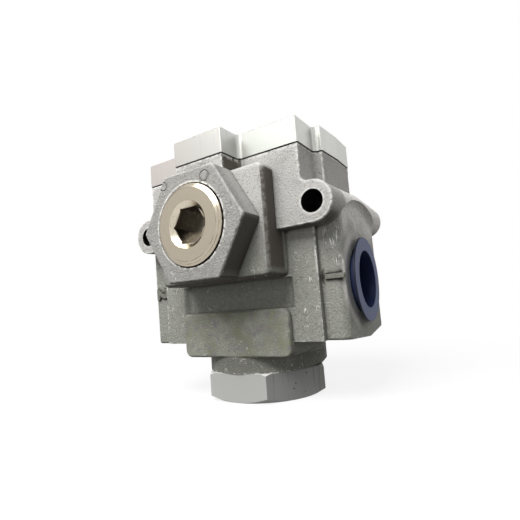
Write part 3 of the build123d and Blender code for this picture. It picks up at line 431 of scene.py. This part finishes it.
# Painted light in a ring of the port face beside the flange.
flange = from_line(tree, mm, "X", (0, 0, PORT_Z))
painted_light_ring = where(
    tree, (flange, *RING), (back, *RING_FRONT), (looks_right, 0.5, 0.8), (across, *RING_OUT)
)
lay_over(tree, skin, painted_light_ring, "#dcdad5")
# Painted shade on what looks down at the front.
lay_over(tree, skin, where(tree, (looks_up, -0.3, -0.7), (back, -20, -30)), "#5a5751")
print("ring ends", RING[0], "mm from the port's axis")

# %% [markdown]
# ## Edges, corners and marks
# Handling polishes what stands proud, and dirt stays in what lies back. The bright
# edges are that polish with a painted highlight on it, and the dark corners are dirt
# with painted shade. Ambient occlusion finds both: rays sent into the metal meet a
# wall soon near an outer edge, and rays sent out meet one soon in a corner. Painting
# masks by hand would give the same, but it would have to be done again whenever the
# casting changes. The polish comes in patches, and most of it is on the upper half
# and the boss.

# %% Worn edges with painted highlights, corners with dirt and painted shade
RAYS = 8
PATCH = 2.2


def closed_in(tree, reach, inside=False):
    """How closed in a point is within a reach in mm, outside or in the metal."""
    reach = {"Distance": reach * MM}
    around = add_node(tree, "ShaderNodeAmbientOcclusion", reach, samples=RAYS, inside=inside)
    hidden = {0: 1.0, 1: around.outputs["AO"]}
    return add_node(tree, "ShaderNodeMath", hidden, operation="SUBTRACT").outputs[0]


corner = closed_in(tree, 2.6)
# Dirt and painted shade in the corners.
lay_over(tree, skin, where(tree, (corner, 0.26, 0.78)), "#2c2a26")
patch = streaks(tree, mm, (PATCH, PATCH, PATCH))
edge = closed_in(tree, 1.7, inside=True)
upper_half = (height, 56, 68)
# Edges worn bright, with a painted highlight, in two grades.
lay_over(tree, skin, where(tree, (edge, 0.15, 0.30), (patch, 0.40, 0.52), upper_half), "#e2e1dc")
lay_over(tree, skin, where(tree, (edge, 0.25, 0.45), (patch, 0.50, 0.60)), "#d9d8d3")
# The boss's rounded edges worn bright, with a painted highlight.
round_edge = closed_in(tree, 3.2, inside=True)
on_boss = [(back, -34, -38), (back, -47, -46), (height, 64, 68)]
boss_edge = where(tree, (round_edge, 0.18, 0.32), (patch, 0.40, 0.54), *on_boss)
lay_over(tree, skin, boss_edge, "#d6d5d0")
print("polish comes in patches of", PATCH, "mm")

# %% [markdown]
# Knocks against other parts leave fine bright cuts, curved and broken. A smooth
# noise passes through its middle value along such curves, so a narrow band about
# that value draws them, and a second noise breaks them into short pieces. Single
# curves with a bevel would lie better, but there would have to be hundreds. The
# pad at the front is touched most, so it has finer cuts and a blotchy film.

# %% Cuts, and the pad's blotches
CUT_BEND = 10.0
PAD_CUT_BEND = 4.5
CUT_LENGTH = 3.0
FLAKE = 1.3
CLUSTER = 12.0


def off_middle(tree, mm, bend, detail):
    """How far a smooth noise that bends within some mm is from its middle value."""
    wave = streaks(tree, mm, (bend, bend, bend), detail=detail)
    off = add_node(tree, "ShaderNodeMath", {0: wave, 1: 0.5}, operation="SUBTRACT")
    return add_node(tree, "ShaderNodeMath", {0: off.outputs[0]}, operation="ABSOLUTE").outputs[0]


cut = off_middle(tree, mm, CUT_BEND, 1.5)
broken = streaks(tree, mm, (CUT_LENGTH, CUT_LENGTH, CUT_LENGTH), detail=1.0)
open_low = [(height, 92, 78), (corner, 0.25, 0.10), (nook, 0.6, 0.2)]
lay_over(tree, skin, where(tree, (cut, 0.009, 0.003), (broken, 0.55, 0.58), *open_low), "#c6c5bf")
flake = streaks(tree, mm, (FLAKE, FLAKE, FLAKE), detail=2.0)
cluster = streaks(tree, mm, (CLUSTER, CLUSTER, CLUSTER), detail=1.0)
on_pad = [(height, 46, 45), (height, 22, 23), (back, *PAD_FRONT)]
lay_over(tree, skin, where(tree, (cluster, 0.35, 0.75), *on_pad), "#8c8e79")
lay_over(tree, skin, where(tree, (broken, 0.55, 0.20), *on_pad), "#8f8c8c")
cut = off_middle(tree, mm, PAD_CUT_BEND, 1.0)
lay_over(tree, skin, where(tree, (cut, 0.014, 0.004), (flake, 0.56, 0.60), *on_pad), "#c0bfb6")
flakes = where(tree, (flake, 0.70, 0.74), (cluster, 0.56, 0.64), *open_low)
lay_over(tree, skin, flakes, "#dddcd6")
print("cuts bend within", CUT_BEND, "mm, on the pad within", PAD_CUT_BEND, "mm")

# %% [markdown]
# Four places on the right-hand blocks have been scraped along something hard. A
# scrape is many short strokes side by side, bright because the skin is broken,
# and pressed in a little. A noise drawn out along one direction gives the strokes,
# and a round mask keeps them where the knock was. One could cut real grooves, but
# strokes half a millimetre wide would cost far too many faces.

# %% Where it was knocked hardest
KNOCKS = [(55.5, 78.0, 6.5), (58.5, 66.0, 3.5), (44.0, 58.0, 1.8), (41.0, 44.0, 1.8)]
STROKE = (0.55, 0.55, 3.4)
STROKE_LEAN = -28
KNOCK_DEPTH = 0.15
scuff = streaks(tree, mm, STROKE, turn=(0, STROKE_LEAN, 0), detail=4.0)
for x, z, reach in KNOCKS:
    away = from_line(tree, mm, "Y", (x, 0, z))
    hit = where(tree, (away, reach, reach / 2), (scuff, 0.54, 0.62), (back, -20, -23))
    lay_over(tree, skin, hit, "#f6f5f0")
    relief(tree, skin, hit, -KNOCK_DEPTH)
print(len(KNOCKS), "hard knocks, strokes", STROKE[0], "mm wide")

# %% [markdown]
# The steel die leaves its own marks. The pins that push the casting out print
# small rings on the hexagon's face, one standing up and one pressed in. The holes
# through the ears are drilled, and their walls are painted near black, as painted
# shade. Shade is also painted round the foot of the raised figures. All are too
# shallow to be worth faces of their own, and a distance from a line places each
# of them exactly.

# %% Marks of the die and the drill
HEX_FACE = -58.7
PINS = [(-15.6, 110.1, 2.2, 0.8), (10.3, 108.8, 2.6, -0.8)]
EAR_X = 52.5
EAR_Z = 92.6
EAR_BORE = (5.5, 5.3)
FIGURE_X = 55.65
FIGURE_Z = 58.8
FIGURE_REACH = (7.2, 6.4)
for x, z, pin_r, rise in PINS:
    out = from_line(tree, mm, "Y", (x, 0, z))
    ring = where(
        tree,
        (out, pin_r - 0.7, pin_r - 0.2),
        (out, pin_r + 0.5, pin_r),
        (back, HEX_FACE + 1, HEX_FACE + 0.3),
    )
    relief(tree, skin, ring, rise)
for side in (-1, 1):
    bore = from_line(tree, mm, "Y", (side * EAR_X, 0, EAR_Z))
    # The walls of the ear bores are painted near black, as painted shade.
    lay_over(tree, skin, where(tree, (bore, *EAR_BORE)), "#0b0a09")
    figure = from_line(tree, mm, "Y", (side * FIGURE_X, 0, FIGURE_Z))
    # Painted shade round the foot of each raised figure.
    figure_foot_shade = where(tree, (corner, 0.06, 0.22), (figure, *FIGURE_REACH), (back, -23, -24))
    lay_over(tree, skin, figure_foot_shade, "#3f3c37")
dress(cast, "body")

# %% [markdown]
# ## Port figures
# Each port block carries a mark that is cast with it, so that a fitter can tell
# supply from outlet. Here they are a plain 1 and 2, which read upwards on the
# right and downwards on the left. Blender's text is enough for them, because a
# die cutter's figures are as plain, with a small bevel that lets them leave the
# die. Being raised, they have the casting's skin without its scratches.

# %% Raised figures
FACE_LEAN = radians(1.275)
FACE_AT_FOOT = (-24.3, 29.7)
FIGURES = [("port_numeral_1", "1", 56.2, 1), ("port_numeral_2", "2", -54.6, -1)]
figure_skin = cast_skin("cast_aluminium_raised_figure")[0]
up_face = Vector((0, -sin(FACE_LEAN), cos(FACE_LEAN)))
out_face = Vector((0, -cos(FACE_LEAN), -sin(FACE_LEAN)))


def raised_numeral(name, figure, x, z, reads):
    """A cast figure on a port block's front, reading up (1) or down (-1)."""
    letter = bpy.data.curves.new(name, "FONT")
    letter.body = figure
    letter.size = 12.0 * MM
    letter.offset = 0.35 * MM
    letter.extrude = 0.9 * MM
    letter.bevel_depth = 0.2 * MM
    letter.bevel_resolution = 2
    letter.align_x = "CENTER"
    letter.align_y = "CENTER"
    letter.materials.append(figure_skin)
    piece = bpy.data.objects.new(name, letter)
    y = FACE_AT_FOOT[0] - (z - FACE_AT_FOOT[1]) * sin(FACE_LEAN)
    foot = Vector((x, y, z)) * MM
    turned = Matrix((up_face * reads, Vector((-reads, 0, 0)), out_face)).transposed()
    piece.matrix_world = Matrix.Translation(foot) @ turned.to_4x4()
    scene.collection.objects.link(piece)
    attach(piece, "valve_body")
    return piece


for name, figure, x, reads in FIGURES:
    piece = raised_numeral(name, figure, x, FIGURE_Z, reads)
    bpy.context.view_layer.update()
    width, length, thick = [round(v / MM, 2) for v in piece.dimensions]
    print(name, width, "x", length, "mm, stands", thick / 2, "mm proud")

# %% [markdown]
# ## Milled aluminium cover
# The cover is sawn from plate and milled all round, so it is smooth and bright
# next to the casting. The cutter leaves faint upright lines on the sides and
# wide arcs across the top. Milled aluminium is fully metallic, with a roughness
# of 0.3 to 0.4, but such a cover would mirror the white room from every side. Half
# of that metallic share keeps its sides apart. An image of brushed metal would
# repeat, which a noise doesn't. The left part is warmer in tone than the right.

# %% Milled aluminium
# Real cutter marks are 0.1 to 0.3 mm apart, too fine for the picture, so the
# upright lines are 0.8 mm apart and the arcs 1.4.
FLUTE = (0.8, 0.8, 40.0)
ARC_PITCH = 1.4
ARC_CENTRE = (-75, 20, 0)
COVER_TOP = (134.0, 134.2)


def tool_rings(tree, radius, pitch):
    """Waves that come round once in a pitch in mm, as a cutter's feed leaves them."""
    rounds = add_node(tree, "ShaderNodeMath", {0: radius, 1: 2 * pi / pitch}, operation="MULTIPLY")
    return add_node(tree, "ShaderNodeMath", {0: rounds.outputs[0]}, operation="SINE").outputs[0]


milled, tree, skin, mm = new_finish("milled_aluminium", "#afaea9", 0.5, 0.42)
across, _, height = add_node(tree, "ShaderNodeSeparateXYZ", {0: mm}).outputs
looks_right = looking(tree)[0]
lay_over(tree, skin, where(tree, (across, 12, -45)), "#b9b2ae")
lay_over(tree, skin, where(tree, (across, 12, 26)), "#a8aaa4")
# The sides that look right are painted lighter, as painted light.
lay_over(tree, skin, where(tree, (looks_right, 0.3, 0.6)), "#c1c1bd")
flutes = streaks(tree, mm, FLUTE)
lay_over(tree, skin, where(tree, (flutes, 0.55, 0.80)), "#a3a19c")
relief(tree, skin, flutes, 0.015)
arcs = tool_rings(tree, from_line(tree, mm, "Z", ARC_CENTRE), ARC_PITCH)
top_lines = {0: arcs, 1: where(tree, (height, *COVER_TOP))}
top_lines = add_node(tree, "ShaderNodeMath", top_lines, operation="MULTIPLY")
relief(tree, skin, top_lines.outputs[0], 0.012)
dress(milled, "pilot_cover")

# %% [markdown]
# ## Turned aluminium
# The piston, the two poppets and the guide plate are turned on a lathe, whose tool
# leaves rings about the axis and a silky shine. Rings could be cut as grooves in a
# lathed mesh, but at a hundredth of a millimetre deep they only tilt the light, so
# they are a bump. The metallic share and roughness are near those of bare metal.

# %% Turned aluminium
# A finishing cut advances about 0.1 mm a turn. The rings are 0.8 mm apart to show.
TURNED_PITCH = 0.8
turned_part, tree, skin, mm = new_finish("turned_aluminium", "#cfcdc8", 0.6, 0.35)
rings = tool_rings(tree, from_line(tree, mm, "Z", (0, 0, 0)), TURNED_PITCH)
relief(tree, skin, rings, 0.012)
lay_over(tree, skin, where(tree, (streaks(tree, mm, (6, 6, 1.5)), 0.5, 0.75)), "#b9b7b1")
dress(turned_part, "piston", "inlet_poppet", "exhaust_poppet", "guide_plate")

# %% [markdown]
# ## Bar aluminium cap
# The bottom cap is cut from drawn hexagon bar. Drawing leaves streaks along the
# bar, which stands upright here, with a few dark pits. The chamfer that the lathe
# cut is painted almost white where it looks up, as a painted highlight. Bare bar is
# fully metallic with a roughness near 0.4. The real flats look nearly as dull as
# the casting and one is darker than the next, so the metallic share is small, and
# the sides that look right are painted darker, as painted shade.
# Anisotropy would stretch the highlight along the bar, but there is hardly one.

# %% Drawn bar
# Draw marks are a few hundredths wide. They are 0.9 mm wide here, so as to show.
DRAW_MARK = (0.9, 0.9, 30.0)
PIT_SPACING = 5.0
drawn, tree, skin, mm = new_finish("drawn_aluminium_bar", "#c6c7c3", 0.06, 0.45)
skin.inputs["Specular IOR Level"].default_value = 0.15
looks_right, _, looks_up = looking(tree)
right_side = (looks_right, 0.3, 0.6)
lines = streaks(tree, mm, DRAW_MARK)
# The sides that look right are painted darker, as painted shade.
lay_over(tree, skin, where(tree, right_side), "#a2a29f")
lay_over(tree, skin, where(tree, (lines, 0.55, 0.75), right_side), "#858481")
relief(tree, skin, lines, 0.02)
pits = add_node(tree, "ShaderNodeTexVoronoi", {"Vector": mm, "Scale": 1 / PIT_SPACING})
lay_over(tree, skin, where(tree, (pits.outputs["Distance"], 0.11, 0.06)), "#3a3835")
# The chamfer is painted almost white where it looks up, as a painted highlight.
lay_over(tree, skin, where(tree, (looks_up, 0.2, 0.4)), "#fbfbf8")
dress(drawn, "bottom_cap")

# %% [markdown]
# ## Nickel-plated plug
# The plug is turned from brass and plated with nickel, which is a warm, yellowish
# white metal. It is fully metallic and mirrors the room, so its colour is what the
# white room looks like in it, and a roughness of 0.24 blurs that as worn plate
# does. A coat over brass would be nearer to how it is made, but nickel hides what
# is under it. Two dark rings lie round its face. The socket is painted darker, as
# painted shade, and the countersink lighter, as a painted highlight.

# %% Nickel plate
PLUG_Z = 87.7
SOCKET = (9.95, 9.85)
SOCKET_DEPTH = (-58.8, -57.0)
COUNTERSINK = (11.6, 11.5)
COUNTERSINK_FRONT = (-60.85, -60.6)
COUNTERSINK_BACK = (-58.6, -58.9)
DARK_RING_RADII = (17.3, 18.5)
RING_HALF = 0.2
nickel, tree, skin, mm = new_finish("turned_brass_nickel_plated", "#b4aa99", 1.0, 0.24)
back = add_node(tree, "ShaderNodeSeparateXYZ", {0: mm}).outputs["Y"]
from_axis = from_line(tree, mm, "Y", (0, 0, PLUG_Z))
# The socket is painted darker, as painted shade.
lay_over(tree, skin, where(tree, (from_axis, *SOCKET), (back, *SOCKET_DEPTH)), "#6f6a61")
# The countersink is painted lighter, as a painted highlight.
countersink = where(
    tree, (from_axis, *COUNTERSINK), (back, *COUNTERSINK_FRONT), (back, *COUNTERSINK_BACK)
)
lay_over(tree, skin, countersink, "#cbc2b0")
worn = streaks(tree, mm, (0.5, 4.0, 2.5), turn=(0, 25, 0))
smear = streaks(tree, mm, (5.0, 5.0, 5.0), detail=2.0)
for ring_r in DARK_RING_RADII:
    ring = where(
        tree,
        (from_axis, ring_r - RING_HALF, ring_r),
        (from_axis, ring_r + RING_HALF, ring_r),
        (smear, 0.40, 0.60),
    )
    lay_over(tree, skin, ring, "#756c5e")
lay_over(tree, skin, where(tree, (worn, 0.55, 0.75)), "#aba192")
dress(nickel, "exhaust_port_plug")

# %% [markdown]
# ## Blue polyethylene protectors
# The thread protectors are moulded from soft polyethylene, which is slightly
# waxy: a wide, weak highlight and no sharp reflections. Its IOR of 1.51 is close
# to Blender's own 1.5, and its roughness is about 0.5. The specular level is
# lowered, because the flange hardly mirrors the white room. Light also goes a
# little way into such a plastic, but this blue is too dark to show it.

# %% Polyethylene
FLANGE_EDGE = (20.6, 20.8)
CUP_WALL = (14.6, 14.2)
poly, tree, skin, mm = new_finish("blue_moulded_polyethylene", "#39466b", 0.0, 0.5)
skin.inputs["Specular IOR Level"].default_value = 0.22
from_axis = from_line(tree, mm, "X", (0, 0, PORT_Z))
# The inside of the cup is painted darker, as painted shade.
lay_over(tree, skin, where(tree, (from_axis, *CUP_WALL)), "#1b2549")
# The rim of the flange is painted near black, as painted shade.
lay_over(tree, skin, where(tree, (from_axis, *FLANGE_EDGE)), "#0c1024")
relief(tree, skin, streaks(tree, mm, (3, 3, 3)), 0.05)
dress(poly, "inlet_port_protector", "cylinder_port_protector")

# %% [markdown]
# ## Dark soft parts
# The gasket is pressed fibre sheet, dry and dull, with fibres that lie along it.
# The seals are moulded nitrile rubber, which has a faint sheen and a grey bloom
# where sulphur has come to its surface. Both have an IOR near Blender's own 1.5,
# and a roughness of about 0.8 and 0.5. Fuzz or mould lines could be modelled, but
# only the gasket's thin edge is ever seen.

# %% Gasket sheet and rubber
# The fibres are a few hundredths thick, and 0.3 mm is the finest that shows.
FIBRE = (2.0, 0.3, 0.3)
BLOOM = (2.0, 2.0, 2.0)
sheet, tree, skin, mm = new_finish("pressed_fibre_gasket", "#1c1b1a", 0.0, 0.8)
lay_over(tree, skin, where(tree, (streaks(tree, mm, FIBRE), 0.55, 0.75)), "#34322f")
dress(sheet, "cover_gasket", "exhaust_plug_seal")

rubber, tree, skin, mm = new_finish("moulded_nitrile_rubber", "#161616", 0.0, 0.5)
lay_over(tree, skin, where(tree, (streaks(tree, mm, BLOOM), 0.5, 0.75)), "#262625")
dress(
    rubber,
    "piston_seal",
    "inlet_poppet_seal",
    "exhaust_poppet_seal",
    "guide_plate_seal",
    "stem_seal",
    "bottom_cap_seal",
)

# %% [markdown]
# ## Small steel parts
# The stem is ground stainless steel, with fine rings round it and a clear shine.
# The screws and nuts are zinc-plated, which is bluish, hazy and a little duller.
# The spring and the retaining ring are hardened and oiled, so they are dark with a
# greasy film. All are fully metallic, with roughness from 0.25, as for a ground
# surface, to 0.35. One shared steel would be simpler, but the fitter tells these
# parts apart by exactly these looks.

# %% Stainless, zinc-plated and spring steel
# Grinding lines are hundredths of a millimetre wide. They are drawn 0.3 mm wide.
GROUND_LINE = (6.0, 6.0, 0.3)
HAZE = (2.0, 2.0, 2.0)
OIL = (1.5, 1.5, 1.5)
stainless, tree, skin, mm = new_finish("ground_stainless_steel", "#b5b4b0", 1.0, 0.25)
lay_over(tree, skin, where(tree, (streaks(tree, mm, GROUND_LINE), 0.5, 0.75)), "#a09f9b")
dress(stainless, "stem", "seal_retainers", "spring_seat")

zinc, tree, skin, mm = new_finish("steel_zinc_plated", "#b7bcc2", 1.0, 0.32)
lay_over(tree, skin, where(tree, (streaks(tree, mm, HAZE), 0.45, 0.7)), "#a9adb6")
dress(zinc, "cover_screws", "stem_nuts", "exhaust_poppet_nut")

spring_steel, tree, skin, mm = new_finish("oiled_spring_steel", "#6f6d6a", 1.0, 0.35)
lay_over(tree, skin, where(tree, (streaks(tree, mm, OIL), 0.45, 0.7)), "#54524f")
dress(spring_steel, "retaining_ring", "return_spring")

# %% [markdown]
# ## Return spring
# When the pilot piston pushes the stem down, the return spring is pressed
# together: its foot stays on the washer and its top coil goes with the poppet. A
# spring that stayed rigid would cut into the poppet. Here a copy of its mesh takes
# the place of the CAD spring, with its place baked in; it is not blended between
# the two bodies. A lattice or an armature would press its coils together, with
# more to set up.

# %% A copy of the return spring
coils = bpy.data.objects.new("return_spring_coils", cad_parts["return_spring"].data.copy())
scene.collection.objects.link(coils)
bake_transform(coils)
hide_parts("return_spring")

# %% [markdown]
# ## Bush and guide ring
# The stem slides in a bush of sintered bronze, which is pressed from powder and
# full of pores that hold oil, so it is brown, dull and speckled. The piston's
# guide ring is a bearing plastic with a filler that shows as pale specks. Bronze
# is fully metallic, with a roughness near 0.45, and the plastic isn't metallic at
# all. The pores could be holes in the mesh, but at this size they are only tone.

# %% Bronze and bearing plastic
# Pores are about 0.05 mm wide and filler grains finer still, so both are drawn
# about half a millimetre wide to show at all.
PORE_SPACING = 0.5
FILLER = (0.6, 0.6, 0.6)
bronze, tree, skin, mm = new_finish("sintered_bronze", "#b08a5c", 1.0, 0.45)
pores = add_node(tree, "ShaderNodeTexVoronoi", {"Vector": mm, "Scale": 1 / PORE_SPACING})
lay_over(tree, skin, where(tree, (pores.outputs["Distance"], 0.25, 0.15)), "#6a4e30")
dress(bronze, "stem_guide_bush")

bearing, tree, skin, mm = new_finish("filled_bearing_plastic", "#3c3a38", 0.0, 0.4)
lay_over(tree, skin, where(tree, (streaks(tree, mm, FILLER), 0.55, 0.75)), "#5a5753")
dress(bearing, "piston_guide_ring")
